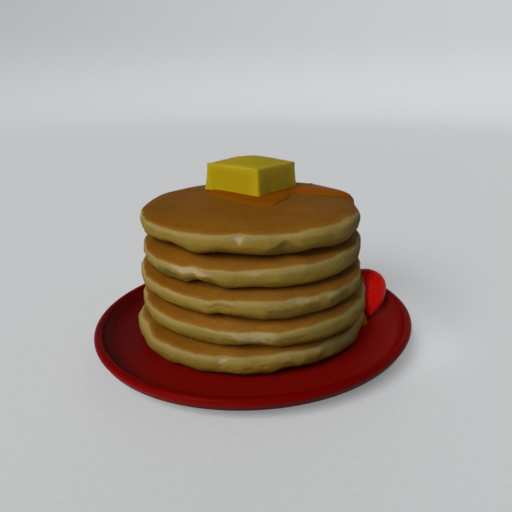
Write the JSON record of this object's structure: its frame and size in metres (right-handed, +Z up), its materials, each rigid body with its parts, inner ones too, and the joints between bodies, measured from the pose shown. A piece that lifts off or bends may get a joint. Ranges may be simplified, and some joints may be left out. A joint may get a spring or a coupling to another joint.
{
  "type": "pancake stack",
  "caption": "Stack of thick pancakes on a red plate with a raised lip, topped with a pat of butter and syrup, with a strawberry beside it.",
  "frame": {"origin": "under the middle of the plate, on the surface that the plate stands on", "axes": "+Z up; the side that is seen first faces -Y; +X is to its right, where the strawberry lies"},
  "size_m": [0.2032, 0.2078, 0.1125],
  "materials": {
    "plate_glaze": "glossy red glaze over stoneware",
    "pancake": "soft baked crumb: browned faces and a pale side",
    "butter": "satin, waxy, softly translucent",
    "syrup": "wet amber gloss",
    "strawberry": "shiny pitted red skin with pale seeds",
    "strawberry_leaf": "matte green leaf"
  },
  "bodies": {
    "root": {"plate": "plate_glaze", "pancake_1": "pancake", "pancake_2": "pancake", "pancake_3": "pancake", "pancake_4": "pancake", "pancake_5": "pancake", "butter": "butter", "strawberry": "strawberry"}
  },
  "joints": []
}
